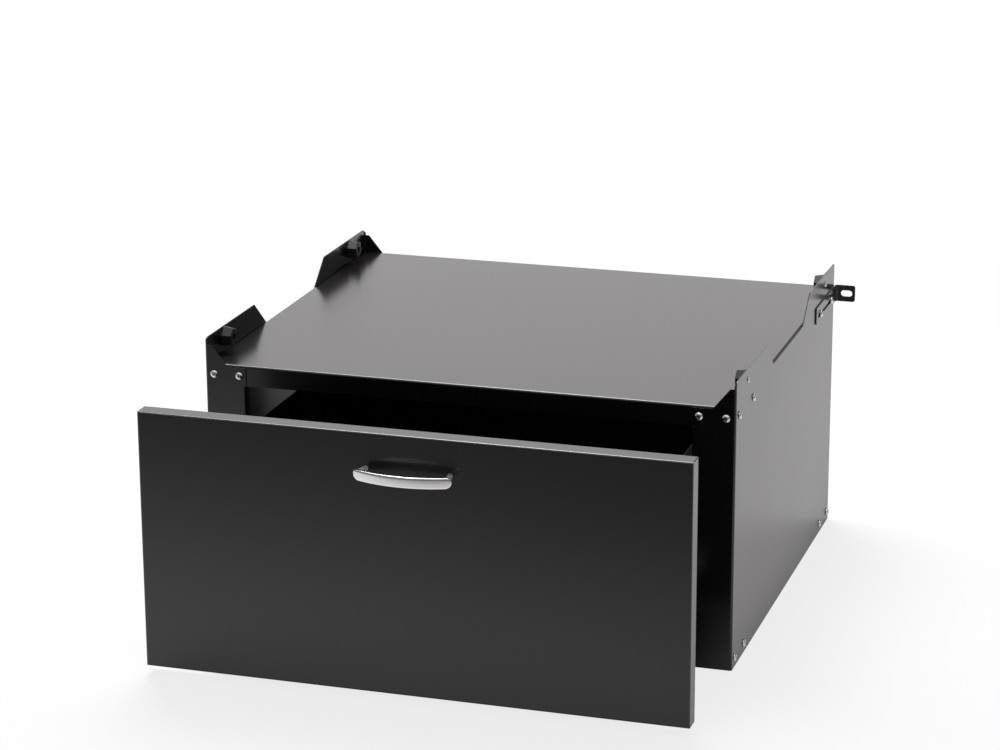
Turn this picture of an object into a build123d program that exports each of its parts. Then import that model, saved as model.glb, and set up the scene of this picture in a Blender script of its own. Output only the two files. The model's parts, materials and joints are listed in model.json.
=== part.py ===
from build123d import *
import os

# Washer base: a sheet-steel pedestal with one drawer on telescopic ball runners.
# Millimetres. X runs right, Y to the rear, Z up. The origin is on the floor, below the cabinet's middle.
# The drawer is drawn part open, which is the rest position of its slide.

# Cabinet
cabinet_width = 630.0
cabinet_depth = 545.0
plate_height = 310.0
sheet = 1.2
bend = 2.5
corner_relief = 4.0

# Posts and ears of the side panels
post_width = 50.0
return_depth = 11.0
return_gap = 1.0
ear_rise = 30.0
ear_top_length = 152.5
ear_foot_length = 187.5
ear_corner = 8.0
post_flat = 7.0
post_slope_end = 27.0
edge_drop = 2.5

# Plates
lip_height = 24.0
base_flange = 18.0
stiffener_spacing = 300.0
stiffener_width = 40.0
stiffener_foot = 15.0
stiffener_height = 20.0
stiffener_end_gap = 6.0

# Screws
head_diameter = 9.0
head_height = 2.6
small_head_diameter = 7.0
small_head_height = 1.7
head_round_share = 0.6
shank_diameter = 3.8
hole_clearance = 0.08
recess_length = 4.6
recess_width = 1.1
recess_share = 0.5
screw_grip = 6.0
upper_screw_setback = 16.5
upper_screw_spacing = 70.0
lower_screw_level = 12.0
lower_screw_setback = 12.5
lower_screw_spacing = 46.0
post_screw_setback = 11.0
post_screw_spacing = 31.0

# Buffers
buffer_length = 12.0
buffer_setback = 57.5
buffer_height = 17.0
buffer_base_flats = 23.0
buffer_tip_flats = 19.0
buffer_tip_round = 1.2
buffer_turn = 17.0
buffer_hole_diameter = 8.0
buffer_hole_depth = 4.0
buffer_screw_depth = 7.0

# Wall brackets
bracket_sheet = 1.5
bracket_height = 21.0
bracket_bend = 4.5
bracket_corner = 3.0
bracket_rise = 2.0
bracket_screw_setback = 26.0
bracket_screw_spacing = 64.0
arm_end_margin = 9.0
arm_back_travel = 14.5
arm_front_travel = 4.0
arm_slot_width = 4.8
tab_reach = 26.0
tab_offset = 5.5
tab_slot_length = 14.5
tab_slot_width = 8.0

# Drawer front and handle
front_bottom = 10.0
front_thick = 22.0
front_lip = 12.0
front_seam = 0.5
front_seam_reach = 5.0
closed_gap = 4.0
drawer_open = 171.0
handle_pitch = 96.0
handle_length = 112.0
handle_height = 12.6
handle_thick = 5.0
handle_reach = 31.0
handle_bow = 12.0
handle_round = 1.6
handle_low_corner = 5.0
handle_high_corner = 3.0
handle_drop = 42.0
handle_post_diameter = 8.0
handle_post_lift = 2.0
handle_screw_depth = 8.0
handle_hole_extra = 2.0

# Drawer box
drawer_sheet = 1.0
drawer_bottom = 28.0
drawer_top_drop = 65.0
drawer_length = 530.0
drawer_bend = 2.0
wall_top_gap = 5.0
corner_flange = 14.0
rivet_diameter = 4.0
rivet_head_diameter = 7.0
rivet_head_height = 1.1
rivet_tail_diameter = 5.6
rivet_tail_height = 1.5
rivet_low = 30.0
rivet_middle = 140.0
rivet_high = 195.0
stud_diameter = 4.0
stud_length = 7.0
stud_pitch = 300.0
stud_low = 32.0
stud_rise = 155.0
nut_flats = 7.0
nut_height = 3.2

# Runners
runner_level = 110.0
runner_height = 45.0
runner_thick = 12.7
runner_sheet = 1.2
runner_bend = 1.8
runner_lip = 2.6
runner_lip_gap = 1.7
runner_end_gap = 1.0
runner_setback = 6.0
slide_length = 500.0
ball_diameter = 3.8
ball_clearance = 0.1
ball_pitch = 30.0
balls_per_row = 7
cage_sheet = 0.6
cage_gap = 0.7
cage_bend = 1.0
cage_end_margin = 10.0
cage_setback = 120.0
cage_hole_clearance = 0.15
middle_flange = 7.0
runner_screw_offset = 9.0
slide_screw_margin = 60.0

# Values worked out from the sizes above
half_width = cabinet_width / 2
half_depth = cabinet_depth / 2
ear_top = plate_height + ear_rise
hole_radius = shank_diameter / 2 + hole_clearance
edge_level = plate_height - edge_drop
edge_foot = ear_foot_length + edge_drop * (ear_foot_length - ear_top_length) / ear_rise
tray_width = cabinet_width - 2 * sheet
tray_depth = cabinet_depth - 2 * sheet
lip_level = plate_height - lip_height / 2
post_edge = half_width - post_width
front_height = plate_height - front_bottom
handle_level = plate_height - handle_drop
drawer_top = plate_height - drawer_top_drop
buffer_level = plate_height + buffer_height
upper_y = half_depth - upper_screw_setback
bracket_y = half_depth - bracket_screw_setback
lower_y = half_depth - lower_screw_setback
buffer_y = half_depth - buffer_setback
outer_post_x = half_width - post_screw_setback
inner_post_x = outer_post_x - post_screw_spacing
front_face = -half_depth - closed_gap - front_thick - drawer_open
box_front = front_face + sheet
box_back = box_front + drawer_length
box_half = post_edge - runner_thick
box_inside = box_half - drawer_sheet
return_screw_y = half_depth - (return_depth + sheet) / 2


def facing(direction, points):
    """Planes at the points, each with its normal along the direction."""
    return [Plane(origin=point, z_dir=direction) for point in points]


def pan_screw(length, diameter=head_diameter, height=head_height):
    """A pan-head screw seated on the XY plane, with its shank below and a cross recess on top."""
    with BuildPart() as screw:
        Cylinder(diameter / 2, height, align=(Align.CENTER, Align.CENTER, Align.MIN))
        fillet(screw.edges().group_by(Axis.Z)[-1], head_round_share * height)
        with Locations((0, 0, height)):
            for turn in (0, 90):
                Box(
                    recess_length,
                    recess_width,
                    2 * recess_share * height,
                    rotation=(0, 0, turn),
                    mode=Mode.SUBTRACT,
                )
        Cylinder(shank_diameter / 2, length, align=(Align.CENTER, Align.CENTER, Align.MAX))
    return screw.part


def save(piece, label):
    """Names a finished piece and writes it to its own file."""
    piece.part.label = label
    export_step(piece.part, f"parts/{label}.step")
    print(label, len(piece.part.solids()), round(piece.part.volume))


def save_pair(piece, label):
    """Writes the right-hand piece and its mirror image on the left."""
    save(piece, f"right_{label}")
    with BuildPart() as mirrored:
        mirror(piece.part, about=Plane.YZ)
    save(mirrored, f"left_{label}")


os.makedirs("parts", exist_ok=True)

# Places of the screws, as points on the faces that their heads sit on
front_upper_ys = [-upper_y, upper_screw_spacing - upper_y]
bracket_ys = [bracket_y - bracket_screw_spacing, bracket_y]
lower_ys = [end * y for end in (1, -1) for y in (lower_y, lower_y - lower_screw_spacing)]
post_xs = [side * x for x in (outer_post_x, inner_post_x) for side in (1, -1)]
runner_screw_levels = [runner_level - runner_screw_offset, runner_level + runner_screw_offset]

# Side panel: one sheet folded into a web, two posts and their returns
with BuildPart() as side_panel:
    with BuildSketch(Plane.XY):
        with BuildLine():
            FilletPolyline(
                (post_edge, return_depth - half_depth),
                (post_edge, -half_depth),
                (half_width, -half_depth),
                (half_width, half_depth),
                (post_edge, half_depth),
                (post_edge, half_depth - return_depth),
                radius=bend,
            )
            offset(amount=sheet, side=Side.LEFT)
        make_face()
    extrude(amount=ear_top)
    # The low edge between the two ears
    with BuildSketch(Plane.YZ):
        with BuildLine():
            Polyline(
                (edge_foot - half_depth, edge_level),
                (half_depth - edge_foot, edge_level),
                (half_depth - ear_top_length, ear_top),
                (ear_top_length - half_depth, ear_top),
                close=True,
            )
        make_face()
    extrude(amount=cabinet_width, mode=Mode.SUBTRACT)
    # The rounded outer corners of the ears
    with BuildSketch(Plane.YZ):
        with Locations((-half_depth, ear_top), (half_depth, ear_top)):
            Rectangle(2 * ear_corner, 2 * ear_corner)
        with Locations((0, ear_top - ear_corner)):
            with GridLocations(cabinet_depth - 2 * ear_corner, 0, 2, 1):
                Circle(ear_corner, mode=Mode.SUBTRACT)
    extrude(amount=cabinet_width, mode=Mode.SUBTRACT)
    # The tops of the posts slope down from the ears to the plate
    with BuildSketch(Plane.XZ):
        with BuildLine():
            Polyline(
                (half_width - bend, ear_top),
                (half_width - bend, ear_top - ear_corner),
                (half_width - post_flat, ear_top - ear_corner),
                (half_width - post_slope_end, edge_level),
                (post_edge - bend, edge_level),
                (post_edge - bend, ear_top),
                close=True,
            )
        make_face()
    extrude(amount=cabinet_depth, both=True, mode=Mode.SUBTRACT)
    # The returns stop short of the lips of the plates, where the posts stay flat to their edges
    with BuildSketch(Plane.XY.offset(plate_height - lip_height - return_gap)):
        with Locations((post_edge + bend / 2, 0)):
            Rectangle(bend, cabinet_depth)
    extrude(amount=lip_height + return_gap, mode=Mode.SUBTRACT)
    with BuildSketch(Plane.XY):
        with Locations((post_edge + bend / 2, 0)):
            Rectangle(bend, cabinet_depth)
    extrude(amount=base_flange + return_gap, mode=Mode.SUBTRACT)
    for level, height in ((plate_height - lip_height, lip_height - edge_drop), (0, base_flange)):
        with BuildSketch(Plane.XY.offset(level)):
            with Locations((post_edge + bend / 2, 0)):
                with GridLocations(0, cabinet_depth - sheet, 1, 2):
                    Rectangle(bend, sheet)
        extrude(amount=height)
    # Holes for the screws
    web_holes = [(half_width, y, lip_level) for y in front_upper_ys + bracket_ys]
    web_holes += [(half_width, y, lower_screw_level) for y in lower_ys]
    web_holes += [(half_width, end * buffer_y, buffer_level) for end in (1, -1)]
    with Locations(*facing((1, 0, 0), web_holes)):
        Hole(hole_radius, depth=sheet)
    post_holes = [(x, lip_level) for x in (outer_post_x, inner_post_x)]
    for end in (1, -1):
        with Locations(*facing((0, end, 0), [(x, end * half_depth, z) for x, z in post_holes])):
            Hole(hole_radius, depth=sheet)
    return_places = [(end * return_screw_y, z) for end in (1, -1) for z in runner_screw_levels]
    with Locations(*facing((1, 0, 0), [(post_edge + sheet, y, z) for y, z in return_places])):
        Hole(hole_radius, depth=sheet)
save_pair(side_panel, "side_panel")

# Top plate: a shallow tray, open below, with notched corners
with BuildPart() as top_plate:
    with BuildSketch(Plane.XY.offset(plate_height)):
        Rectangle(tray_width, tray_depth)
    extrude(amount=-lip_height)
    fillet(top_plate.edges().group_by(Axis.Z)[-1], bend)
    offset(amount=-sheet, openings=top_plate.faces().sort_by(Axis.Z)[0])
    with BuildSketch(Plane.XY.offset(plate_height)):
        with GridLocations(tray_width, tray_depth, 2, 2):
            Rectangle(2 * corner_relief, 2 * corner_relief)
    extrude(amount=-lip_height, mode=Mode.SUBTRACT)
    for side in (1, -1):
        side_holes = [(side * tray_width / 2, y, lip_level) for y in front_upper_ys + bracket_ys]
        with Locations(*facing((side, 0, 0), side_holes)):
            Hole(hole_radius, depth=sheet)
        with Locations(*facing((0, side, 0), [(x, side * tray_depth / 2, lip_level) for x in post_xs])):
            Hole(hole_radius, depth=sheet)
save(top_plate, "top_plate")

# Base plate: the same tray turned over
with BuildPart() as base_plate:
    with BuildSketch(Plane.XY):
        Rectangle(tray_width, tray_depth)
    extrude(amount=base_flange)
    fillet(base_plate.edges().group_by(Axis.Z)[0], bend)
    offset(amount=-sheet, openings=base_plate.faces().sort_by(Axis.Z)[-1])
    with BuildSketch(Plane.XY):
        with GridLocations(tray_width, tray_depth, 2, 2):
            Rectangle(2 * corner_relief, 2 * corner_relief)
    extrude(amount=base_flange, mode=Mode.SUBTRACT)
    for side in (1, -1):
        flange_holes = [(side * tray_width / 2, y, lower_screw_level) for y in lower_ys]
        with Locations(*facing((side, 0, 0), flange_holes)):
            Hole(hole_radius, depth=sheet)
save(base_plate, "base_plate")

# Stiffener: a hat section welded under the top plate
stiffener_start = (stiffener_spacing / 2, sheet + stiffener_end_gap - tray_depth / 2, plate_height - sheet)
with BuildPart() as stiffener:
    with BuildSketch(Plane(origin=stiffener_start, x_dir=(1, 0, 0), z_dir=(0, -1, 0))):
        with BuildLine():
            FilletPolyline(
                (-stiffener_width / 2 - stiffener_foot, 0),
                (-stiffener_width / 2, 0),
                (-stiffener_width / 2, -stiffener_height),
                (stiffener_width / 2, -stiffener_height),
                (stiffener_width / 2, 0),
                (stiffener_width / 2 + stiffener_foot, 0),
                radius=bend,
            )
            offset(amount=sheet, side=Side.RIGHT)
        make_face()
    extrude(amount=2 * (sheet + stiffener_end_gap) - tray_depth)
save_pair(stiffener, "stiffener")

# Buffer: a tapered hexagon of rubber that fills the ear's distance to the machine
for end, place in ((-1, "front"), (1, "rear")):
    buffer_seat = (tray_width / 2, end * buffer_y, buffer_level)
    buffer_base = Plane(origin=buffer_seat, x_dir=(0, 1, 0), z_dir=(-1, 0, 0))
    with BuildPart() as buffer:
        with BuildSketch(buffer_base):
            RegularPolygon(buffer_base_flats / 2, 6, major_radius=False, rotation=buffer_turn)
        with BuildSketch(buffer_base.offset(buffer_length)):
            RegularPolygon(buffer_tip_flats / 2, 6, major_radius=False, rotation=buffer_turn)
        loft()
        fillet(buffer.faces().sort_by(Axis.X)[0].edges(), buffer_tip_round)
        with Locations(buffer_base.offset(buffer_length)):
            Hole(buffer_hole_diameter / 2, depth=buffer_hole_depth)
        with Locations(buffer_base):
            Cylinder(
                hole_radius,
                buffer_screw_depth,
                align=(Align.CENTER, Align.CENTER, Align.MIN),
                mode=Mode.SUBTRACT,
            )
    save_pair(buffer, f"{place}_buffer")

# Wall bracket: a slotted arm along the side panel, and a slotted tab bent outwards behind it
arm_slot_length = bracket_screw_spacing + shank_diameter + arm_front_travel + arm_back_travel
arm_slot_end = bracket_y + shank_diameter / 2 + arm_front_travel
tab_back = half_depth + tab_offset
bracket_level = lip_level + bracket_rise
with BuildPart() as wall_bracket:
    with BuildSketch(Plane.XY.offset(bracket_level - bracket_height / 2)):
        with BuildLine():
            FilletPolyline(
                (half_width, arm_slot_end - arm_slot_length - arm_end_margin),
                (half_width, tab_back),
                (half_width + tab_reach, tab_back),
                radius=bracket_bend,
            )
            offset(amount=bracket_sheet, side=Side.RIGHT)
        make_face()
    extrude(amount=bracket_height)
    fillet(wall_bracket.faces().sort_by(Axis.X)[-1].edges().filter_by(Axis.Y), bracket_corner)
    fillet(wall_bracket.faces().sort_by(Axis.Y)[0].edges().filter_by(Axis.X), bracket_corner)
    with BuildSketch(Plane.YZ.offset(half_width)):
        with Locations((arm_slot_end - arm_slot_length / 2, lip_level)):
            SlotOverall(arm_slot_length, arm_slot_width)
    extrude(amount=bracket_sheet, mode=Mode.SUBTRACT)
    with BuildSketch(Plane.XZ.offset(-tab_back)):
        with Locations((half_width + (bracket_bend + tab_reach) / 2, bracket_level)):
            SlotOverall(tab_slot_length, tab_slot_width)
    extrude(amount=bracket_sheet, mode=Mode.SUBTRACT)
save_pair(wall_bracket, "wall_bracket")

# Drawer front: a pan folded at its four edges, with a narrow lip at the back and open seams at its corners
front_middle = front_bottom + front_height / 2
with BuildPart() as drawer_front:
    with BuildSketch(Plane.XZ.offset(-front_face)):
        with Locations((0, front_middle)):
            Rectangle(cabinet_width, front_height)
    extrude(amount=-front_thick)
    fillet(drawer_front.edges().group_by(Axis.Y)[0], bend)
    offset(amount=-sheet, openings=drawer_front.faces().sort_by(Axis.Y)[-1])
    with BuildSketch(Plane.XZ.offset(-front_face - front_thick)):
        with Locations((0, front_middle)):
            Rectangle(cabinet_width, front_height)
            Rectangle(cabinet_width - 2 * front_lip, front_height - 2 * front_lip, mode=Mode.SUBTRACT)
    extrude(amount=sheet)
    seam_y = front_face + front_thick / 2 + bend
    for side in (1, -1):
        for edge in (1, -1):
            with Locations((side * half_width, seam_y, front_middle + edge * front_height / 2)):
                Box(
                    2 * front_seam_reach,
                    front_thick,
                    front_seam,
                    rotation=(0, -45 * side * edge, 0),
                    mode=Mode.SUBTRACT,
                )
    # Weld studs on the inner face, for the drawer box
    stud_levels = (drawer_bottom + stud_low, drawer_bottom + stud_low + stud_rise)
    stud_places = [(side * stud_pitch / 2, box_front, z) for side in (1, -1) for z in stud_levels]
    with Locations(*facing((0, 1, 0), stud_places)):
        Cylinder(stud_diameter / 2, stud_length, align=(Align.CENTER, Align.CENTER, Align.MIN))
    # Holes for the handle
    handle_post_level = handle_level + handle_post_lift
    handle_holes = [(side * handle_pitch / 2, box_front, handle_post_level) for side in (1, -1)]
    with Locations(*facing((0, 1, 0), handle_holes)):
        Hole(hole_radius, depth=sheet)
save(drawer_front, "drawer_front")

# Handle: a bowed bar on two posts
bar_low = handle_level - handle_height / 2
bow_middle = front_face - handle_reach
bow_end = bow_middle + handle_bow
with BuildPart() as handle:
    with BuildSketch(Plane.XY.offset(bar_low)):
        with BuildLine():
            ThreePointArc((-handle_length / 2, bow_end), (0, bow_middle), (handle_length / 2, bow_end))
            Line((handle_length / 2, bow_end), (handle_length / 2, bow_end + handle_thick))
            ThreePointArc(
                (handle_length / 2, bow_end + handle_thick),
                (0, bow_middle + handle_thick),
                (-handle_length / 2, bow_end + handle_thick),
            )
            Line((-handle_length / 2, bow_end + handle_thick), (-handle_length / 2, bow_end))
        make_face()
    extrude(amount=handle_height)
    end_edges = handle.edges().filter_by(Axis.Y).group_by(Axis.Z)
    fillet(end_edges[0], handle_low_corner)
    end_edges = handle.edges().filter_by(Axis.Y).group_by(Axis.Z)
    fillet(end_edges[-1], handle_high_corner)
    fillet(handle.edges(), handle_round)
    post_planes = facing((0, -1, 0), [(x, front_face, z) for x, y, z in handle_holes])
    with BuildSketch(*post_planes):
        Circle(handle_post_diameter / 2)
    extrude(until=Until.NEXT)
    with Locations(*post_planes):
        Cylinder(
            hole_radius,
            handle_screw_depth + handle_hole_extra,
            align=(Align.CENTER, Align.CENTER, Align.MIN),
            mode=Mode.SUBTRACT,
        )
save(handle, "handle")

# Drawer tray: floor and side walls, folded from one sheet
rivet_levels = [drawer_bottom + rise for rise in (rivet_low, rivet_middle, rivet_high)]
rivet_ys = [box_front + corner_flange / 2, box_back - corner_flange / 2]
rivet_places = [(side * box_half, y, z) for side in (1, -1) for y in rivet_ys for z in rivet_levels]
rivet_radius = rivet_diameter / 2 + hole_clearance
slide_front = -half_depth + runner_setback
slide_ys = [
    slide_front - drawer_open + slide_screw_margin,
    slide_front - drawer_open + slide_length / 2,
    slide_front - drawer_open + slide_length - slide_screw_margin,
]
slide_screw_places = [(box_inside, y, runner_level) for y in slide_ys]
with BuildPart() as drawer_tray:
    with BuildSketch(Plane.XZ.offset(-box_front)):
        with BuildLine():
            FilletPolyline(
                (-box_half, drawer_top),
                (-box_half, drawer_bottom),
                (box_half, drawer_bottom),
                (box_half, drawer_top),
                radius=drawer_bend,
            )
            offset(amount=drawer_sheet, side=Side.LEFT)
        make_face()
    extrude(amount=-drawer_length)
    for side in (1, -1):
        tray_rivets = [place for place in rivet_places if place[0] * side > 0]
        with Locations(*facing((side, 0, 0), tray_rivets)):
            Hole(rivet_radius, depth=drawer_sheet)
        with Locations(*facing((-side, 0, 0), [(side * x, y, z) for x, y, z in slide_screw_places])):
            Hole(hole_radius, depth=drawer_sheet)
save(drawer_tray, "drawer_tray")

# Drawer inner front and back wall: flanged sheets riveted to the tray's walls
wall_floor = drawer_bottom + drawer_sheet
wall_height = drawer_top - drawer_sheet - wall_top_gap - wall_floor
for label, wall_y, inward in (("drawer_inner_front", box_front, 1), ("drawer_back_wall", box_back, -1)):
    with BuildPart() as wall:
        with BuildSketch(Plane.XY.offset(wall_floor + drawer_bend)):
            with BuildLine():
                FilletPolyline(
                    (-box_inside, wall_y + inward * corner_flange),
                    (-box_inside, wall_y),
                    (box_inside, wall_y),
                    (box_inside, wall_y + inward * corner_flange),
                    radius=drawer_bend,
                )
                offset(amount=drawer_sheet, side=Side.LEFT if inward > 0 else Side.RIGHT)
            make_face()
        extrude(amount=wall_height - drawer_bend)
        # The middle of the wall stands on the tray's floor, clear of its folds
        with BuildSketch(Plane.XY.offset(wall_floor)):
            with Locations((0, wall_y + inward * drawer_sheet / 2)):
                Rectangle(2 * (box_inside - drawer_bend), drawer_sheet)
        extrude(amount=drawer_bend)
        for side in (1, -1):
            near = [(side * box_inside, y, z) for x, y, z in rivet_places if x * side > 0]
            with Locations(*facing((side, 0, 0), near)):
                Hole(rivet_radius, depth=drawer_sheet)
        if inward > 0:
            with Locations(*facing((0, -1, 0), stud_places)):
                Hole(stud_diameter / 2 + hole_clearance, depth=drawer_sheet)
    save(wall, label)

# Blind rivets at the corners of the drawer box
with BuildPart() as rivet:
    Cylinder(rivet_head_diameter / 2, rivet_head_height, align=(Align.CENTER, Align.CENTER, Align.MIN))
    fillet(rivet.edges().group_by(Axis.Z)[-1], rivet_head_height / 2)
    Cylinder(rivet_diameter / 2, 2 * drawer_sheet, align=(Align.CENTER, Align.CENTER, Align.MAX))
    with Locations((0, 0, -2 * drawer_sheet)):
        Cylinder(rivet_tail_diameter / 2, rivet_tail_height, align=(Align.CENTER, Align.CENTER, Align.MAX))
with BuildPart() as drawer_rivets:
    for side in (1, -1):
        with Locations(*facing((side, 0, 0), [place for place in rivet_places if place[0] * side > 0])):
            add(rivet.part)
save(drawer_rivets, "drawer_rivets")

# Nuts on the weld studs
with BuildPart() as front_nuts:
    with BuildSketch(*facing((0, 1, 0), [(x, y + drawer_sheet, z) for x, y, z in stud_places])):
        RegularPolygon(nut_flats / 2, 6, major_radius=False)
        Circle(stud_diameter / 2 + hole_clearance / 2, mode=Mode.SUBTRACT)
    extrude(amount=nut_height)
save(front_nuts, "drawer_front_nuts")

# Runner sections, seen from the front: u runs from the post's return to the drawer, w upwards
race = ball_diameter + 2 * ball_clearance
cabinet_half = runner_height / 2
middle_half = cabinet_half - runner_sheet - race
drawer_half = middle_half - runner_sheet - race
outer_cage_half = middle_half + (race + cage_sheet) / 2
inner_cage_half = drawer_half + (race + cage_sheet) / 2
lip_edge = runner_thick - runner_lip_gap
outer_cage_u = runner_sheet + cage_gap
middle_u = outer_cage_u + cage_sheet + cage_gap
middle_edge = middle_u + middle_flange
inner_cage_u = middle_u + runner_sheet + cage_gap
drawer_edge = inner_cage_u + cage_sheet + cage_gap
outer_ball_u = (middle_u + lip_edge - runner_sheet) / 2
inner_ball_u = (drawer_edge + middle_edge) / 2
cage_length = (balls_per_row - 1) * ball_pitch + 2 * cage_end_margin
ball_radius = ball_diameter / 2


def runner_plane(y):
    """The section plane of the right-hand runner, looking to the rear."""
    return Plane(origin=(post_edge, y, runner_level), x_dir=(-1, 0, 0), z_dir=(0, 1, 0))


def cage_places(y, ball_u, ball_w):
    """Centres of the balls in one cage, in rows above and below."""
    start = y + cage_end_margin
    rows = [start + count * ball_pitch for count in range(balls_per_row)]
    return [(post_edge - ball_u, row, runner_level + half * ball_w) for half in (1, -1) for row in rows]


# Cabinet member, screwed to the returns of the posts
with BuildPart() as cabinet_runner:
    with BuildSketch(runner_plane(sheet + runner_end_gap - half_depth)):
        with BuildLine():
            FilletPolyline(
                (lip_edge, cabinet_half - runner_lip),
                (lip_edge, cabinet_half),
                (0, cabinet_half),
                (0, -cabinet_half),
                (lip_edge, -cabinet_half),
                (lip_edge, runner_lip - cabinet_half),
                radius=runner_bend,
            )
            offset(amount=runner_sheet, side=Side.LEFT)
        make_face()
    extrude(amount=cabinet_depth - 2 * (sheet + runner_end_gap))
    with Locations(*facing((1, 0, 0), [(post_edge, y, z) for y, z in return_places])):
        Hole(hole_radius, depth=runner_sheet)
save_pair(cabinet_runner, "cabinet_runner")

# Middle member, which moves half as far as the drawer
with BuildPart() as middle_runner:
    with BuildSketch(runner_plane(slide_front - drawer_open / 2)):
        with BuildLine():
            FilletPolyline(
                (middle_edge, middle_half),
                (middle_u, middle_half),
                (middle_u, -middle_half),
                (middle_edge, -middle_half),
                radius=runner_bend,
            )
            offset(amount=runner_sheet, side=Side.LEFT)
        make_face()
    extrude(amount=slide_length)
save_pair(middle_runner, "middle_runner")

# Drawer member, screwed to the drawer's side wall
with BuildPart() as drawer_runner:
    with BuildSketch(runner_plane(slide_front - drawer_open)):
        with BuildLine():
            FilletPolyline(
                (drawer_edge, -drawer_half),
                (runner_thick, -drawer_half),
                (runner_thick, drawer_half),
                (drawer_edge, drawer_half),
                radius=runner_bend,
            )
            offset(amount=runner_sheet, side=Side.LEFT)
        make_face()
    extrude(amount=slide_length)
    with Locations(*facing((-1, 0, 0), [(box_half, y, z) for x, y, z in slide_screw_places])):
        Hole(hole_radius, depth=runner_sheet)
save_pair(drawer_runner, "drawer_runner")

# Ball cages and balls: each cage moves midway between the two members that its balls run on
cages = (
    ("outer", outer_cage_u, lip_edge - runner_sheet - cage_gap, outer_cage_half, outer_ball_u, 0.25),
    ("inner", inner_cage_u, middle_edge, inner_cage_half, inner_ball_u, 0.75),
)
for name, web_u, edge_u, cage_half, ball_u, share in cages:
    cage_front = slide_front + cage_setback - share * drawer_open
    ball_centres = cage_places(cage_front, ball_u, cage_half - cage_sheet / 2)
    with BuildPart() as cage:
        with BuildSketch(runner_plane(cage_front)):
            with BuildLine():
                FilletPolyline(
                    (edge_u, cage_half),
                    (web_u, cage_half),
                    (web_u, -cage_half),
                    (edge_u, -cage_half),
                    radius=cage_bend,
                )
                offset(amount=cage_sheet, side=Side.LEFT)
            make_face()
        extrude(amount=cage_length)
        with Locations(*ball_centres):
            Cylinder(ball_radius + cage_hole_clearance, race, mode=Mode.SUBTRACT)
    save_pair(cage, f"{name}_ball_cage")
    with BuildPart() as balls:
        with Locations(*ball_centres):
            Sphere(ball_radius)
    save_pair(balls, f"{name}_balls")

# Screws, in groups that do the same job
plate_screw = pan_screw(2 * sheet + screw_grip)
bracket_screw = pan_screw(bracket_sheet + 2 * sheet + screw_grip)
buffer_screw = pan_screw(sheet + buffer_screw_depth, small_head_diameter, small_head_height)
cabinet_runner_screw = pan_screw(sheet + runner_sheet, small_head_diameter, small_head_height)
slide_screw = pan_screw(drawer_sheet + runner_sheet)
handle_screw = pan_screw(sheet + handle_screw_depth)


def save_side_screws(screw, x, places, direction, label):
    """Writes a group of screws on both sides, with their heads outwards (1) or inwards (-1)."""
    with BuildPart() as group:
        for side in (1, -1):
            with Locations(*facing((side * direction, 0, 0), [(side * x, y, z) for y, z in places])):
                add(screw)
    save(group, label)


upper_places = [(y, lip_level) for y in front_upper_ys]
lower_places = [(y, lower_screw_level) for y in lower_ys]
bracket_places = [(y, lip_level) for y in bracket_ys]
buffer_places = [(end * buffer_y, buffer_level) for end in (1, -1)]
slide_places = [(y, z) for x, y, z in slide_screw_places]
save_side_screws(plate_screw, half_width, upper_places, 1, "upper_side_screws")
save_side_screws(plate_screw, half_width, lower_places, 1, "lower_side_screws")
save_side_screws(bracket_screw, half_width + bracket_sheet, bracket_places, 1, "wall_bracket_screws")
save_side_screws(buffer_screw, half_width, buffer_places, 1, "buffer_screws")
save_side_screws(cabinet_runner_screw, post_edge + sheet, return_places, 1, "cabinet_runner_screws")
save_side_screws(slide_screw, box_inside, slide_places, -1, "drawer_runner_screws")

for label, screw, direction, seats in (
    ("front_post_screws", plate_screw, -1, [(x, -half_depth, lip_level) for x in post_xs]),
    ("rear_post_screws", plate_screw, 1, [(x, half_depth, lip_level) for x in post_xs]),
    ("handle_screws", handle_screw, 1, handle_holes),
):
    with BuildPart() as group:
        with Locations(*facing((0, direction, 0), seats)):
            add(screw)
    save(group, label)
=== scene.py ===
import json
import math

import bmesh
import bpy
from mathutils import Matrix, Vector

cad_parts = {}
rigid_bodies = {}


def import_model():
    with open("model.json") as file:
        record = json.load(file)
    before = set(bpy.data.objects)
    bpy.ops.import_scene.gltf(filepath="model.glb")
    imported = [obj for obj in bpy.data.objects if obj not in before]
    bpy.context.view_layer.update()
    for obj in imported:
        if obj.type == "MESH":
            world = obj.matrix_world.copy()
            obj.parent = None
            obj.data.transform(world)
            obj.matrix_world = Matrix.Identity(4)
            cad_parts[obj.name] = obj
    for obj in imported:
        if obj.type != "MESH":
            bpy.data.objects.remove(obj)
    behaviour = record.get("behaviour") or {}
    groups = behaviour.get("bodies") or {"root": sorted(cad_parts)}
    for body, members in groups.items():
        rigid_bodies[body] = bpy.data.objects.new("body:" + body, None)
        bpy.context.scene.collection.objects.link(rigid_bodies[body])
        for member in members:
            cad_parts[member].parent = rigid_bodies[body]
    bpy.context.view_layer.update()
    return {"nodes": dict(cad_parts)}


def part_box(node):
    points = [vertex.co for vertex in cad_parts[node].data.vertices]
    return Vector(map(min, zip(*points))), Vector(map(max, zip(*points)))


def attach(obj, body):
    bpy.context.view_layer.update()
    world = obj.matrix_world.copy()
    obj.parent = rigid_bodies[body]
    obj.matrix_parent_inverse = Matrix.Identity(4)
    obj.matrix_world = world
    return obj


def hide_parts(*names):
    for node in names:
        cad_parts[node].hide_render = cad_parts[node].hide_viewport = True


for thing in list(bpy.data.objects):
    bpy.data.objects.remove(thing, do_unlink=True)

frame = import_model()
nodes = frame["nodes"]
scene = bpy.context.scene

# Faces and levels of the solids that the screws sit on, in metres
SIDE_FACE = 0.315
BRACKET_FACE = 0.31655
POST_FACE = 0.2725
UPPER_LEVEL, LOWER_LEVEL, BUFFER_LEVEL = 0.298, 0.012, 0.327

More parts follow.
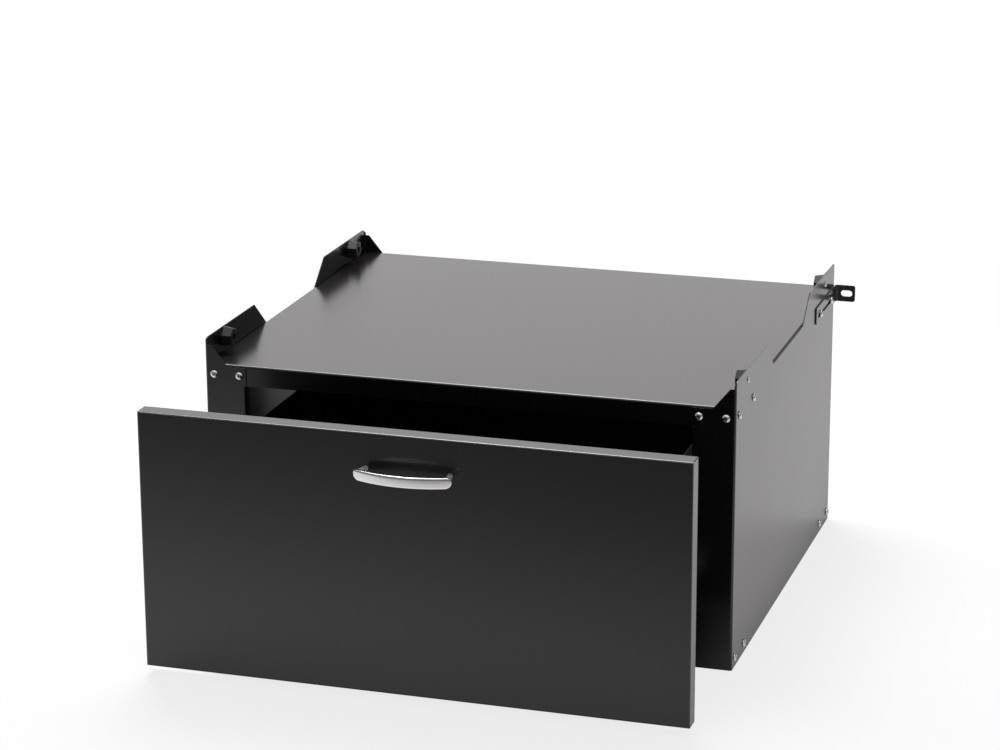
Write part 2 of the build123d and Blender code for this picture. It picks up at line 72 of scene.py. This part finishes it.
# Faces nearer than this to the middle and lower than the top are inside the cabinet
INSIDE_X, INSIDE_Y, INSIDE_TOP = 0.3144, 0.2706, 0.3072


# Shader helpers: each adds nodes to a tree and returns a socket

EVEN = (1.0, 1.0, 1.0)
NOISE_LOW, NOISE_HIGH = 0.3, 0.7
MIX_FIRST, MIX_SECOND, MIX_RESULT = 6, 7, 2
BEVEL_SAMPLES = 4


def noise(tree, scale, detail=2.0, rough=0.5, stretch=EVEN):
    """Noise in object coordinates, in cycles a metre."""
    coords = tree.nodes.new("ShaderNodeTexCoord")
    mapping = tree.nodes.new("ShaderNodeMapping")
    mapping.inputs["Scale"].default_value = stretch
    tex = tree.nodes.new("ShaderNodeTexNoise")
    tex.inputs["Scale"].default_value = scale
    tex.inputs["Detail"].default_value = detail
    tex.inputs["Roughness"].default_value = rough
    tree.links.new(coords.outputs["Object"], mapping.inputs["Vector"])
    tree.links.new(mapping.outputs["Vector"], tex.inputs["Vector"])
    return tex.outputs["Fac"]


def map_range(tree, source, start, end, low, high, kind):
    node = tree.nodes.new("ShaderNodeMapRange")
    node.interpolation_type = kind
    for name, value in (("From Min", start), ("From Max", end), ("To Min", low), ("To Max", high)):
        node.inputs[name].default_value = value
    tree.links.new(source, node.inputs["Value"])
    return node.outputs["Result"]


def spread(tree, source, low, high, start=NOISE_LOW, end=NOISE_HIGH):
    """A value between low and high that follows source."""
    return map_range(tree, source, start, end, low, high, "LINEAR")


def ease(tree, source, start, end, low, high):
    """A smooth step from low at start to high at end."""
    return map_range(tree, source, start, end, low, high, "SMOOTHSTEP")


def tint(tree, source, dark, light, start=NOISE_LOW, end=NOISE_HIGH):
    """A colour between dark and light that follows source."""
    ramp = tree.nodes.new("ShaderNodeValToRGB")
    for element, place, colour in zip(ramp.color_ramp.elements, (start, end), (dark, light)):
        element.position = place
        element.color = (*colour, 1)
    tree.links.new(source, ramp.inputs["Fac"])
    return ramp.outputs["Color"]


def mix_colour(tree, factor, first, second):
    """A colour between first and second, which are sockets or plain colours."""
    node = tree.nodes.new("ShaderNodeMix")
    node.data_type = "RGBA"
    tree.links.new(factor, node.inputs["Factor"])
    for index, colour in ((MIX_FIRST, first), (MIX_SECOND, second)):
        if isinstance(colour, tuple):
            node.inputs[index].default_value = colour
        else:
            tree.links.new(colour, node.inputs[index])
    return node.outputs[MIX_RESULT]


def bump(tree, height, distance, strength, edge):
    """A bumped normal, with the hard edges rounded over edge metres."""
    node = tree.nodes.new("ShaderNodeBump")
    node.inputs["Distance"].default_value = distance
    node.inputs["Strength"].default_value = strength
    tree.links.new(height, node.inputs["Height"])
    if edge:
        bevel = tree.nodes.new("ShaderNodeBevel")
        bevel.samples = BEVEL_SAMPLES
        bevel.inputs["Radius"].default_value = edge
        tree.links.new(bevel.outputs["Normal"], node.inputs["Normal"])
    return node.outputs["Normal"]


def math_node(tree, operation, first, second=None):
    node = tree.nodes.new("ShaderNodeMath")
    node.operation = operation
    for socket, value in zip(node.inputs, (first, second)):
        if isinstance(value, (int, float)):
            socket.default_value = value
        elif value is not None:
            tree.links.new(value, socket)
    return node.outputs[0]


def product(tree, first, *others):
    for other in others:
        first = math_node(tree, "MULTIPLY", first, other)
    return first


def largest(tree, first, *others):
    for other in others:
        first = math_node(tree, "MAXIMUM", first, other)
    return first


def split_coords(tree, kind):
    coords = tree.nodes.new("ShaderNodeTexCoord")
    split = tree.nodes.new("ShaderNodeSeparateXYZ")
    tree.links.new(coords.outputs[kind], split.inputs[0])
    return split.outputs


# Materials. Their patterns are in cycles a metre: mottle varies the colour, sheen the roughness and
# grain the surface

PAINT_DARK, PAINT_LIGHT = (0.0044, 0.0031, 0.0035), (0.0058, 0.0043, 0.0048)
PAINT_ROUGH, PAINT_RANGE = (0.205, 0.265), (0.2, 0.8)
PAINT_MOTTLE, PAINT_MOTTLE_DETAIL = 7.0, 4.0
PAINT_SHEEN, PAINT_SHEEN_DETAIL = 3.0, 3.0
PAINT_GRAIN, PAINT_GRAIN_DETAIL = 520.0, 1.0
PAINT_GRAIN_DEPTH, PAINT_GRAIN_STRENGTH, PAINT_EDGE = 0.00002, 0.35, 0.0005
PAINT_IOR = 1.5
COAT_WEIGHT, COAT_ROUGH, COAT_IOR = 0.45, 0.175, 1.5
INSIDE_ROUGH = 0.35

RUBBER_DARK, RUBBER_LIGHT = (0.012, 0.012, 0.0122), (0.019, 0.0188, 0.0185)
RUBBER_ROUGH, RUBBER_IOR = (0.40, 0.54), 1.43
RUBBER_MOTTLE, RUBBER_MOTTLE_DETAIL = 160.0, 4.0
RUBBER_SHEEN, RUBBER_GRAIN, RUBBER_DETAIL = 300.0, 1800.0, 3.0
RUBBER_GRAIN_DEPTH, RUBBER_GRAIN_STRENGTH, RUBBER_EDGE = 0.00004, 0.5, 0.0011

METAL_DETAIL, METAL_NOISE_ROUGH, METAL_SHEEN = 3.0, 0.6, 0.4
METAL_DEPTH, METAL_STRENGTH, METAL_EDGE = 0.00001, 0.4, 0.0003


def new_material(name):
    mat = bpy.data.materials.new(name)
    mat.use_nodes = True
    tree = mat.node_tree
    return mat, tree, tree.nodes["Principled BSDF"]


def black_paint(name, inner):
    """Satin paint, with inner added to the roughness of the faces inside the cabinet."""
    mat, tree, shader = new_material(name)
    mottle = noise(tree, PAINT_MOTTLE, PAINT_MOTTLE_DETAIL)
    tree.links.new(tint(tree, mottle, PAINT_DARK, PAINT_LIGHT, *PAINT_RANGE), shader.inputs["Base Color"])
    gloss = spread(tree, noise(tree, PAINT_SHEEN, PAINT_SHEEN_DETAIL), *PAINT_ROUGH, *PAINT_RANGE)
    x, y, z = split_coords(tree, "Object")
    across = math_node(tree, "LESS_THAN", math_node(tree, "ABSOLUTE", x), INSIDE_X)
    along = math_node(tree, "LESS_THAN", math_node(tree, "ABSOLUTE", y), INSIDE_Y)
    below = math_node(tree, "LESS_THAN", z, INSIDE_TOP)
    added = product(tree, across, along, below, inner)
    tree.links.new(math_node(tree, "ADD", gloss, added), shader.inputs["Roughness"])
    shader.inputs["IOR"].default_value = PAINT_IOR
    shader.inputs["Coat Weight"].default_value = COAT_WEIGHT
    shader.inputs["Coat Roughness"].default_value = COAT_ROUGH
    shader.inputs["Coat IOR"].default_value = COAT_IOR
    grain = noise(tree, PAINT_GRAIN, PAINT_GRAIN_DETAIL)
    normal = bump(tree, grain, PAINT_GRAIN_DEPTH, PAINT_GRAIN_STRENGTH, PAINT_EDGE)
    tree.links.new(normal, shader.inputs["Normal"])
    tree.links.new(normal, shader.inputs["Coat Normal"])
    return mat


def black_rubber():
    mat, tree, shader = new_material("moulded_black_rubber")
    mottle = noise(tree, RUBBER_MOTTLE, RUBBER_MOTTLE_DETAIL)
    tree.links.new(tint(tree, mottle, RUBBER_DARK, RUBBER_LIGHT), shader.inputs["Base Color"])
    sheen = noise(tree, RUBBER_SHEEN, RUBBER_DETAIL)
    tree.links.new(spread(tree, sheen, *RUBBER_ROUGH), shader.inputs["Roughness"])
    shader.inputs["IOR"].default_value = RUBBER_IOR
    grain = noise(tree, RUBBER_GRAIN, RUBBER_DETAIL)
    normal = bump(tree, grain, RUBBER_GRAIN_DEPTH, RUBBER_GRAIN_STRENGTH, RUBBER_EDGE)
    tree.links.new(normal, shader.inputs["Normal"])
    return mat


def metal(name, dark, light, rough, grain, stretch=EVEN, edge=METAL_EDGE, metallic=1.0):
    """Metal between two colours and two roughnesses, with a grain that may be stretched."""
    mat, tree, shader = new_material(name)
    pattern = noise(tree, grain, METAL_DETAIL, METAL_NOISE_ROUGH, stretch)
    tree.links.new(tint(tree, pattern, dark, light), shader.inputs["Base Color"])
    sheen = noise(tree, grain * METAL_SHEEN, METAL_DETAIL, METAL_NOISE_ROUGH, stretch)
    tree.links.new(spread(tree, sheen, *rough), shader.inputs["Roughness"])
    shader.inputs["Metallic"].default_value = metallic
    normal = bump(tree, pattern, METAL_DEPTH, METAL_STRENGTH, edge)
    tree.links.new(normal, shader.inputs["Normal"])
    return mat


looks = {
    "black_paint": black_paint("satin_black_paint", INSIDE_ROUGH),
    "black_rubber": black_rubber(),
    "zinc_screw": metal("bright_zinc", (0.84, 0.83, 0.81), (0.95, 0.94, 0.92), (0.14, 0.24), 700.0),
    "painted_rivet": metal("dark_rivet", (0.02, 0.02, 0.02), (0.03, 0.03, 0.03), (0.35, 0.5), 500.0),
    "runner_steel": metal(
        "zinc_plated_steel", (0.50, 0.51, 0.53), (0.62, 0.63, 0.65), (0.22, 0.36), 60.0,
        stretch=(1.0, 0.15, 1.0)),
    "cage_steel": metal("cage_steel", (0.36, 0.36, 0.36), (0.46, 0.46, 0.46), (0.3, 0.45), 90.0),
    "ball_steel": metal("ball_steel", (0.66, 0.66, 0.67), (0.74, 0.74, 0.75), (0.06, 0.12), 400.0),
    "satin_chrome": metal(
        "satin_chrome", (0.88, 0.87, 0.88), (0.95, 0.94, 0.95), (0.16, 0.25), 40.0,
        stretch=(0.3, 1.0, 6.0), edge=0.0, metallic=0.78),
}
drawer_paint = black_paint("drawer_black_paint", 0.0)
# Darker zinc for the faces of the screw recesses: painted shade in the recess
recess_painted_shade = metal("recess_painted_shade", (0.10, 0.10, 0.10), (0.17, 0.165, 0.16), (0.35, 0.5), 700.0)
# Polished chrome for the top and end rim and the upper face rows. It is darker than the satin face, so it
# paints part of the dark line under the top rim as painted shade
polished_chrome_painted_shade = metal(
    "polished_chrome_painted_shade", (0.74, 0.73, 0.74), (0.80, 0.79, 0.80), (0.10, 0.16), 300.0, edge=0.0)
cast_chrome = metal(
    "satin_cast_post", (0.84, 0.83, 0.84), (0.92, 0.91, 0.92), (0.22, 0.32), 200.0,
    edge=0.0, metallic=0.35)
bright_chrome = metal(
    "bright_chrome", (0.93, 0.93, 0.93), (0.97, 0.97, 0.97), (0.05, 0.10), 300.0, edge=0.0)

for name, node in nodes.items():
    for slot in node.material_slots:
        kind = slot.material.name.split(".")[0]
        moving = kind == "black_paint" and name.startswith("drawer_")
        slot.material = drawer_paint if moving else looks[kind]


# Pieces that take the place of a node

def mesh_piece(name, verts, faces, mats, kinds, body, node):
    """A smooth piece that rides on a body, with the material of mats that kinds gives for each face."""
    mesh = bpy.data.meshes.new(name)
    mesh.from_pydata(verts, [], faces)
    for mat in mats:
        mesh.materials.append(mat)
    for face, kind in zip(mesh.polygons, kinds):
        face.material_index = kind
    mesh.shade_smooth()
    piece = bpy.data.objects.new(name, mesh)
    scene.collection.objects.link(piece)
    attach(piece, body)
    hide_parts(node)
    return piece


# Handle: a bowed bar with a rounded outline, on two posts that widen into it

BOW, BAR_THICK = 0.012, 0.005
# The face is crowned: its crest lies a little under the top edge, and it falls back faster above it
CREST_DROP, CROWN_LOW, CROWN_HIGH = 0.0024, 12.0, 112.0
LOW_ROUND, HIGH_ROUND = 0.0068, 0.0042
# The rounded rim is 1 face round wide along the top and 2.5 along the bottom
FACE_ROUND, BACK_ROUND, RIM_MEAN, RIM_TILT = 0.0007, 0.0012, 1.75, 0.75
CORNER_STEPS, EDGE_STEPS, RIM_STEPS = 8, 30, 6
FACE_ROWS = (0.2, 0.4, 0.6, 0.74, 0.80, 0.86, 0.92)
# From this row up the face is polished, and mirrors a dark line under the rim; its colour, darker than the
# satin face, also paints that line as painted shade
POLISHED_FROM = 0.80
POST_X, POST_SPLAY, POST_LEVEL, POST_SINK = 0.048, 0.0035, 0.270, 0.0003
POST_RADIUS, POST_NARROWER, POST_TALLER = 0.0031, 0.0002, 0.0006
# The posts end inside the bar, this far along it and this deep under its face
POST_END, POST_COVER = 0.0515, 0.003
POST_SIDES, POST_SLICES = 28, 14
SATIN, POLISHED, CAST, BRIGHT = range(4)


def quarter_turn(steps):
    return [k / steps * math.pi / 2 for k in range(steps + 1)]


def full_turn(sides):
    return [2 * math.pi * i / sides for i in range(sides)]


def edge_line(half, level, turn, sign):
    """Points along one long edge with its two corners, and their outward directions."""
    span = half - turn
    ends = []
    for end in (-1, 1):
        arc = []
        for angle in quarter_turn(CORNER_STEPS):
            out = (end * math.cos(angle), sign * math.sin(angle))
            arc.append((end * span + turn * out[0], level - sign * turn + turn * out[1], *out))
        ends.append(arc)
    flat = [(-span + 2 * span * k / EDGE_STEPS, level, 0.0, sign) for k in range(1, EDGE_STEPS)]
    return ends[0] + flat + ends[1][::-1]


def handle_piece():
    low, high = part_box("handle")
    half = (high[0] - low[0]) / 2
    crest = high[2] - CREST_DROP
    radius = (half * half + BOW * BOW) / (2 * BOW)
    verts, faces, kinds = [], [], []

    def bent(along, depth, level):
        """A point of the straight bar, bent round the bow."""
        angle = math.asin(along / radius)
        reach = radius - depth
        return (reach * math.sin(angle), low[1] + radius - reach * math.cos(angle), level)

    def crowned(level):
        """How far the face lies behind its crest at this level."""
        return (CROWN_HIGH if level > crest else CROWN_LOW) * (level - crest) ** 2

    def inset(point, distance):
        """A point of the outline moved inwards over the rim, as its place and level."""
        a, b, da, db = point
        share = distance * (RIM_MEAN - RIM_TILT * db)
        return a - share * da, b - share * db

    def add(kind, *corners):
        faces.append(corners)
        kinds.append(kind)

    lower = edge_line(half, low[2], LOW_ROUND, -1)
    upper = edge_line(half, high[2], HIGH_ROUND, 1)
    loop = lower + upper[::-1]
    count, total = len(lower), len(loop)

    # Rim: rings from the face's edge to the back's edge
    for angle in quarter_turn(RIM_STEPS):
        depth = FACE_ROUND * (1 - math.cos(angle))
        for point in loop:
            along, level = inset(point, FACE_ROUND * (1 - math.sin(angle)))
            verts.append(bent(along, depth + crowned(level), level))
    for angle in quarter_turn(RIM_STEPS):
        back, depth = BACK_ROUND * (1 - math.cos(angle)), BAR_THICK - BACK_ROUND * (1 - math.sin(angle))
        verts += [bent(a - back * da, depth, b - back * db) for a, b, da, db in loop]
    rings = 2 * (RIM_STEPS + 1)
    for k in range(rings - 1):
        here, there = k * total, (k + 1) * total
        for i in range(total):
            j = (i + 1) % total
            add(BRIGHT if i < count - 1 else POLISHED, here + i, here + j, there + j, there + i)

    # Crowned face in rows, the flat back, and the ends of the face
    grid = [list(range(count))]
    for row in FACE_ROWS:
        grid.append([len(verts) + i for i in range(count)])
        for bottom, top in zip(lower, upper):
            (a, b), (c, d) = inset(bottom, FACE_ROUND), inset(top, FACE_ROUND)
            level = b + (d - b) * row
            verts.append(bent(a + (c - a) * row, crowned(level), level))
    grid.append([total - 1 - i for i in range(count)])
    for start, one, two in zip((0.0,) + FACE_ROWS, grid, grid[1:]):
        for i in range(count - 1):
            add(SATIN if start < POLISHED_FROM else POLISHED, one[i + 1], one[i], two[i], two[i + 1])
    last = (rings - 1) * total
    for i in range(count - 1):
        add(SATIN, last + i, last + i + 1, last + total - 2 - i, last + total - 1 - i)
    for end in (0, count - 1):
        add(SATIN, *[row[end] for row in grid])

    # Posts, round at the panel and taller where they run into the ends of the bar
    deep = bent(POST_END, POST_COVER, 0.0)[1]
    for side in (-1, 1):
        first = len(verts)
        for k in range(POST_SLICES + 1):
            q = k / POST_SLICES
            flow = q * q * (3 - 2 * q)
            across, tall = POST_RADIUS - POST_NARROWER * flow, POST_RADIUS + POST_TALLER * flow
            x, y = side * (POST_X + POST_SPLAY * flow), high[1] + (deep - high[1]) * q
            z = POST_LEVEL - POST_SINK * flow
            for angle in full_turn(POST_SIDES):
                verts.append((x + across * math.cos(angle), y, z + tall * math.sin(angle)))
        for k in range(POST_SLICES):
            here, there = first + k * POST_SIDES, first + (k + 1) * POST_SIDES
            for i in range(POST_SIDES):
                j = (i + 1) % POST_SIDES
                add(CAST, here + i, here + j, there + j, there + i)
        end = first + POST_SLICES * POST_SIDES
        add(CAST, *[first + i for i in range(POST_SIDES)])
        add(CAST, *[end + i for i in reversed(range(POST_SIDES))])

    mats = [looks["satin_chrome"], polished_chrome_painted_shade, cast_chrome, bright_chrome]
    piece = mesh_piece("handle_bar", verts, faces, mats, kinds, "drawer", "handle")
    fix = bmesh.new()
    fix.from_mesh(piece.data)
    bmesh.ops.recalc_face_normals(fix, faces=fix.faces)
    fix.to_mesh(piece.data)
    fix.free()


handle_piece()


# Screws: domed heads with a tapered cross recess

HEAD_SIDES, HEAD_ROUNDS = 40, 9
# The dome's rim stands at the root of 1 - HEAD_FALL, in head heights
HEAD_FALL = 0.84
# Lower edge of the head, in head heights, and the shank's tip, in shank radii
HEAD_EDGE, HEAD_CHAMFER = 0.12, 0.1
TIP_LENGTH, TIP_RADIUS = 0.75, 0.45
# Half length and half width of the recess in head radii, and its level in head heights
RECESS_TOP, RECESS_FLOOR = (0.54, 0.125, 1.1), (0.24, 0.08, 0.34)
# Faces nearer to the axis, over this level and this far under the dome are those of the recess, which get a
# darker zinc as painted shade
RECESS_REACH, RECESS_LEVEL, RECESS_SINK = 0.62, 0.2, 0.04
# Turn of a node's first screw about its axis, and of each next one, in radians
FIRST_TURN, NEXT_TURN = 0.35, 0.9
SHARP_ANGLE = math.radians(38)


def linked_object(name, body):
    """An object made from a bmesh, which is freed."""
    mesh = bpy.data.meshes.new(name)
    body.to_mesh(mesh)
    body.free()
    thing = bpy.data.objects.new(name, mesh)
    scene.collection.objects.link(thing)
    return thing


def screw_blank(profile):
    """A profile of radii and levels, turned about the Z axis."""
    body = bmesh.new()
    loops = []
    for r, z in profile:
        ring = full_turn(HEAD_SIDES) if r else [0.0]
        loops.append([body.verts.new((r * math.cos(a), r * math.sin(a), z)) for a in ring])
    for one, two in zip(loops, loops[1:]):
        for i in range(HEAD_SIDES):
            j = (i + 1) % HEAD_SIDES
            corners = [one[i % len(one)], two[i % len(two)], two[j % len(two)], one[j % len(one)]]
            body.faces.new([c for n, c in enumerate(corners) if c not in corners[:n]])
    return linked_object("screw_blank", body)


def recess_cutter(radius, height, turned):
    """One tapered bar of the cross, along X or turned to Y."""
    body = bmesh.new()
    bmesh.ops.create_cube(body, size=2.0)
    for v in body.verts:
        long, wide, level = RECESS_TOP if v.co.z > 0 else RECESS_FLOOR
        v.co.x *= radius * (wide if turned else long)
        v.co.y *= radius * (long if turned else wide)
        v.co.z = height * level
    return linked_object("recess", body)


def screw_mesh(radius, height, shank_radius, shank):
    """One screw seated on the XY plane, as vertices and faces with a flag for those of the recess, which are
    painted darker as shade.
    """
    def dome(reach):
        return height * math.sqrt(1 - HEAD_FALL * min(1.0, reach / radius) ** 3)

    profile = [(0.0, height)]
    for angle in quarter_turn(HEAD_ROUNDS - 1)[1:]:
        r = radius * math.sin(angle)
        profile.append((r, dome(r)))
    profile += [(radius, HEAD_EDGE * height), (radius - HEAD_CHAMFER * height, 0.0)]
    profile += [(shank_radius, 0.0), (shank_radius, TIP_LENGTH * shank_radius - shank)]
    profile += [(TIP_RADIUS * shank_radius, -shank), (0.0, -shank)]
    blank = screw_blank(profile)
    cutters = [recess_cutter(radius, height, turned) for turned in (False, True)]
    for cutter in cutters:
        cut = blank.modifiers.new("recess", "BOOLEAN")
        cut.operation, cut.solver, cut.object = "DIFFERENCE", "EXACT", cutter
    bpy.context.view_layer.update()
    made = bpy.data.meshes.new_from_object(blank.evaluated_get(bpy.context.evaluated_depsgraph_get()))
    for thing in cutters + [blank]:
        bpy.data.objects.remove(thing, do_unlink=True)
    verts = [v.co.copy() for v in made.vertices]
    faces = []
    for face in made.polygons:
        c = face.center
        reach = math.hypot(c.x, c.y)
        within = RECESS_LEVEL * height < c.z < dome(reach) - RECESS_SINK * height
        faces.append((tuple(face.vertices), reach < RECESS_REACH * radius and within))
    bpy.data.meshes.remove(made)
    return verts, faces


def mirrored(places, out):
    """Seats on the right and then on the left: pairs of a place and the direction of the head."""
    return [((k * x, y, z), (k * out[0], out[1], out[2])) for k in (1, -1) for x, y, z in places]


def screw_piece(node, model, seats):
    """All the screws of one node of the cabinet."""
    verts, faces, kinds = [], [], []
    for n, (place, out) in enumerate(seats):
        spin = Matrix.Rotation(NEXT_TURN * n + FIRST_TURN, 3, "Z")
        turn = Vector(out).to_track_quat("Z", "Y").to_matrix() @ spin
        first = len(verts)
        verts += [turn @ v + Vector(place) for v in model[0]]
        faces += [tuple(first + i for i in corners) for corners, deep in model[1]]
        kinds += [int(deep) for corners, deep in model[1]]
    # The second material paints shade into the recesses
    mats = [looks["zinc_screw"], recess_painted_shade]
    piece = mesh_piece(node + "_detail", verts, faces, mats, kinds, "cabinet", node)
    piece.data.set_sharp_from_angle(angle=SHARP_ANGLE)


# Head radius and height, shank radius and length
panel_screw = screw_mesh(0.0046, 0.0030, 0.0019, 0.0084)
bracket_screw = screw_mesh(0.0046, 0.0030, 0.0019, 0.0099)
buffer_screw = screw_mesh(0.0035, 0.0017, 0.0019, 0.0082)

FORWARD, BACKWARD, SIDEWAYS = (0, -1, 0), (0, 1, 0), (1, 0, 0)
POST_XS = (0.304, 0.273)
UPPER_YS = (-0.256, -0.186)
LOWER_YS = (-0.26, -0.214, 0.214, 0.26)
BRACKET_YS = (0.1825, 0.2465)
BUFFER_YS = (-0.215, 0.215)
for node, model, places, out in (
    ("front_post_screws", panel_screw, [(x, -POST_FACE, UPPER_LEVEL) for x in POST_XS], FORWARD),
    ("rear_post_screws", panel_screw, [(x, POST_FACE, UPPER_LEVEL) for x in POST_XS], BACKWARD),
    ("upper_side_screws", panel_screw, [(SIDE_FACE, y, UPPER_LEVEL) for y in UPPER_YS], SIDEWAYS),
    ("lower_side_screws", panel_screw, [(SIDE_FACE, y, LOWER_LEVEL) for y in LOWER_YS], SIDEWAYS),
    ("wall_bracket_screws", bracket_screw, [(BRACKET_FACE, y, UPPER_LEVEL) for y in BRACKET_YS], SIDEWAYS),
    ("buffer_screws", buffer_screw, [(SIDE_FACE, y, BUFFER_LEVEL) for y in BUFFER_YS], SIDEWAYS),
):
    screw_piece(node, model, mirrored(places, out))


# Camera at the photograph's viewing angle

YAW, PITCH, ROLL = -0.3037, -0.2912, -0.0047
CAMERA_PLACE = Vector((1.02497, -3.40652, 1.31032))
FOCAL_PIXELS, PICTURE_PIXELS, SENSOR = 3050.65, 1000.0, 36.0
CLIP_END = 100.0

forward = Vector((math.sin(YAW) * math.cos(PITCH), math.cos(YAW) * math.cos(PITCH), math.sin(PITCH)))
level_right = Vector((math.cos(YAW), -math.sin(YAW), 0.0))
level_up = level_right.cross(forward)
right = level_right * math.cos(ROLL) + level_up * math.sin(ROLL)
up = level_up * math.cos(ROLL) - level_right * math.sin(ROLL)
camera = bpy.data.objects.new("camera", bpy.data.cameras.new("camera"))
axes = Matrix((right, up, -forward)).transposed()
camera.matrix_world = Matrix.Translation(CAMERA_PLACE) @ axes.to_4x4()
camera.data.sensor_width = SENSOR
camera.data.lens = FOCAL_PIXELS * SENSOR / PICTURE_PIXELS
camera.data.clip_end = CLIP_END
scene.collection.objects.link(camera)
scene.camera = camera


# Floor: pale, with the object's shadow. In reflections it glows as a white sweep of painted light that dims
# towards the front, with a painted shadow under and just behind the object

FLOOR_REACH, FLOOR_DROP = 12, 0.0004
FLOOR_COLOUR, FLOOR_ROUGH = (0.92, 0.92, 0.92, 1), 0.9
SWEEP_COLOUR, WHITE = (1.0, 0.968, 0.979), (1, 1, 1)
# Share of plain white in the floor, which hides the shadow far from the object, and in its reflection
PLAIN_BY_DISTANCE, PLAIN_REFLECTED = (0.6, 1.6, 0.80, 1.0), 0.75
# Painted shadow: the sweep is dark under the object and just behind it, and clear beside it, ahead of it or
# further behind it
BESIDE, AHEAD, BEHIND = (0.235, 0.362, 0.0, 1.0), (-0.50, -0.45, 1.0, 0.0), (0.0, 1.5, 0.0, 1.0)
# Painted light: how the sweep dims towards the front, askew, and how it is toned down beside the cabinet
SWEEP_SKEW, SWEEP_REACH, SWEEP_TONE = 0.25, (-1.36, -0.46, 0.06, 0.86), (-0.62, -0.36, 1.0, 0.745)

floor_mesh = bpy.data.meshes.new("floor")
corners = [(x * FLOOR_REACH, y * FLOOR_REACH, 0) for x, y in ((-1, -1), (1, -1), (1, 1), (-1, 1))]
floor_mesh.from_pydata(corners, [], [(0, 1, 2, 3)])
floor = bpy.data.objects.new("floor", floor_mesh)
floor.location.z = -FLOOR_DROP
scene.collection.objects.link(floor)
floor_mat, tree, shader = new_material("pale_floor")
shader.inputs["Base Color"].default_value = FLOOR_COLOUR
shader.inputs["Roughness"].default_value = FLOOR_ROUGH
x, y, z = split_coords(tree, "Object")
path = tree.nodes.new("ShaderNodeLightPath").outputs
direct = largest(tree, path["Is Camera Ray"], path["Is Transmission Ray"])
squares = math_node(tree, "ADD", math_node(tree, "POWER", x, 2), math_node(tree, "POWER", y, 2))
away = math_node(tree, "SQRT", squares)
share = product(tree, direct, ease(tree, away, *PLAIN_BY_DISTANCE))
share = largest(tree, share, product(tree, path["Is Glossy Ray"], PLAIN_REFLECTED))
beside = ease(tree, math_node(tree, "ABSOLUTE", x), *BESIDE)
# Painted shadow of the object in the reflected sweep: none of the glow under it or just behind it
clear = largest(tree, beside, ease(tree, y, *AHEAD), ease(tree, y, *BEHIND))
askew = math_node(tree, "SUBTRACT", y, product(tree, x, SWEEP_SKEW))
sweep = product(tree, clear, ease(tree, askew, *SWEEP_REACH), ease(tree, y, *SWEEP_TONE))
glow = tree.nodes.new("ShaderNodeEmission")
tree.links.new(largest(tree, direct, sweep), glow.inputs["Strength"])
tree.links.new(tint(tree, direct, SWEEP_COLOUR, WHITE, 0.0, 1.0), glow.inputs["Color"])
mix = tree.nodes.new("ShaderNodeMixShader")
tree.links.new(share, mix.inputs[0])
tree.links.new(shader.outputs[0], mix.inputs[1])
tree.links.new(glow.outputs[0], mix.inputs[2])
tree.links.new(mix.outputs[0], tree.nodes["Material Output"].inputs["Surface"])
floor_mesh.materials.append(floor_mat)


# World: plain white, but in reflections a room that is bright from the left to straight behind, and
# darker to the right and in front

# Places round the room as shares of a full turn, and their brightness; then the share of green and blue
ROOM = ((0.20, 0.20), (0.28, 0.92), (0.40, 0.965), (0.508, 0.965), (0.535, 0.12), (0.68, 0.14), (0.85, 0.24))
ROOM_GREEN, ROOM_BLUE = 0.977, 0.984
ROOM_SEAM = (0.24, 0.234, 0.236, 1)
# Ceiling colour behind and in front, where it changes, and the height at which it begins
CEILING_BEHIND, CEILING_FRONT = (0.35, 0.34, 0.345), (0.85, 0.83, 0.837)
CEILING_TURN, CEILING_HEIGHT = (0.2, -0.1, 0.0, 1.0), (0.5, 0.66, 0.0, 1.0)
# Brightness of the world as a soft light
WORLD_FILL = 0.34

world = bpy.data.worlds.new("studio")
scene.world = world
world.use_nodes = True
tree = world.node_tree
back = tree.nodes["Background"]
x, y, z = split_coords(tree, "Generated")
path = tree.nodes.new("ShaderNodeLightPath").outputs
turn = spread(tree, math_node(tree, "ARCTAN2", x, y), 0.0, 1.0, -math.pi, math.pi)
room = tree.nodes.new("ShaderNodeValToRGB")
tree.links.new(turn, room.inputs["Fac"])
ramp = room.color_ramp
ramp.elements[0].color = ramp.elements[1].color = ROOM_SEAM
for place, value in ROOM:
    ramp.elements.new(place).color = (value, ROOM_GREEN * value, ROOM_BLUE * value, 1)
ramp.elements[0].position, ramp.elements[-1].position = 0.0, 1.0
above = tint(tree, ease(tree, y, *CEILING_TURN), CEILING_BEHIND, CEILING_FRONT, 0.0, 1.0)
mirrored_room = mix_colour(tree, ease(tree, z, *CEILING_HEIGHT), room.outputs["Color"], above)
shown = mix_colour(tree, path["Is Glossy Ray"], (*WHITE, 1), mirrored_room)
tree.links.new(shown, back.inputs["Color"])
seen = largest(tree, path["Is Camera Ray"], path["Is Glossy Ray"], path["Is Transmission Ray"])
tree.links.new(spread(tree, seen, WORLD_FILL, 1.0, 0.0, 1.0), back.inputs["Strength"])


# Lamp: one softbox over the left rear

LAMP_PLACE, LAMP_TARGET = Vector((-0.6, 0.9, 2.4)), Vector((-0.55, 0.85, 0.0))
LAMP_WIDTH, LAMP_DEPTH, LAMP_POWER = 1.4, 1.6, 82.0

softbox = bpy.data.lights.new("overhead_softbox", "AREA")
softbox.shape = "RECTANGLE"
softbox.size, softbox.size_y = LAMP_WIDTH, LAMP_DEPTH
softbox.energy = LAMP_POWER
lamp = bpy.data.objects.new("overhead_softbox", softbox)
lamp.location = LAMP_PLACE
lamp.rotation_euler = (LAMP_TARGET - LAMP_PLACE).to_track_quat("-Z", "Y").to_euler()
scene.collection.objects.link(lamp)

scene.view_settings.view_transform = "Standard"
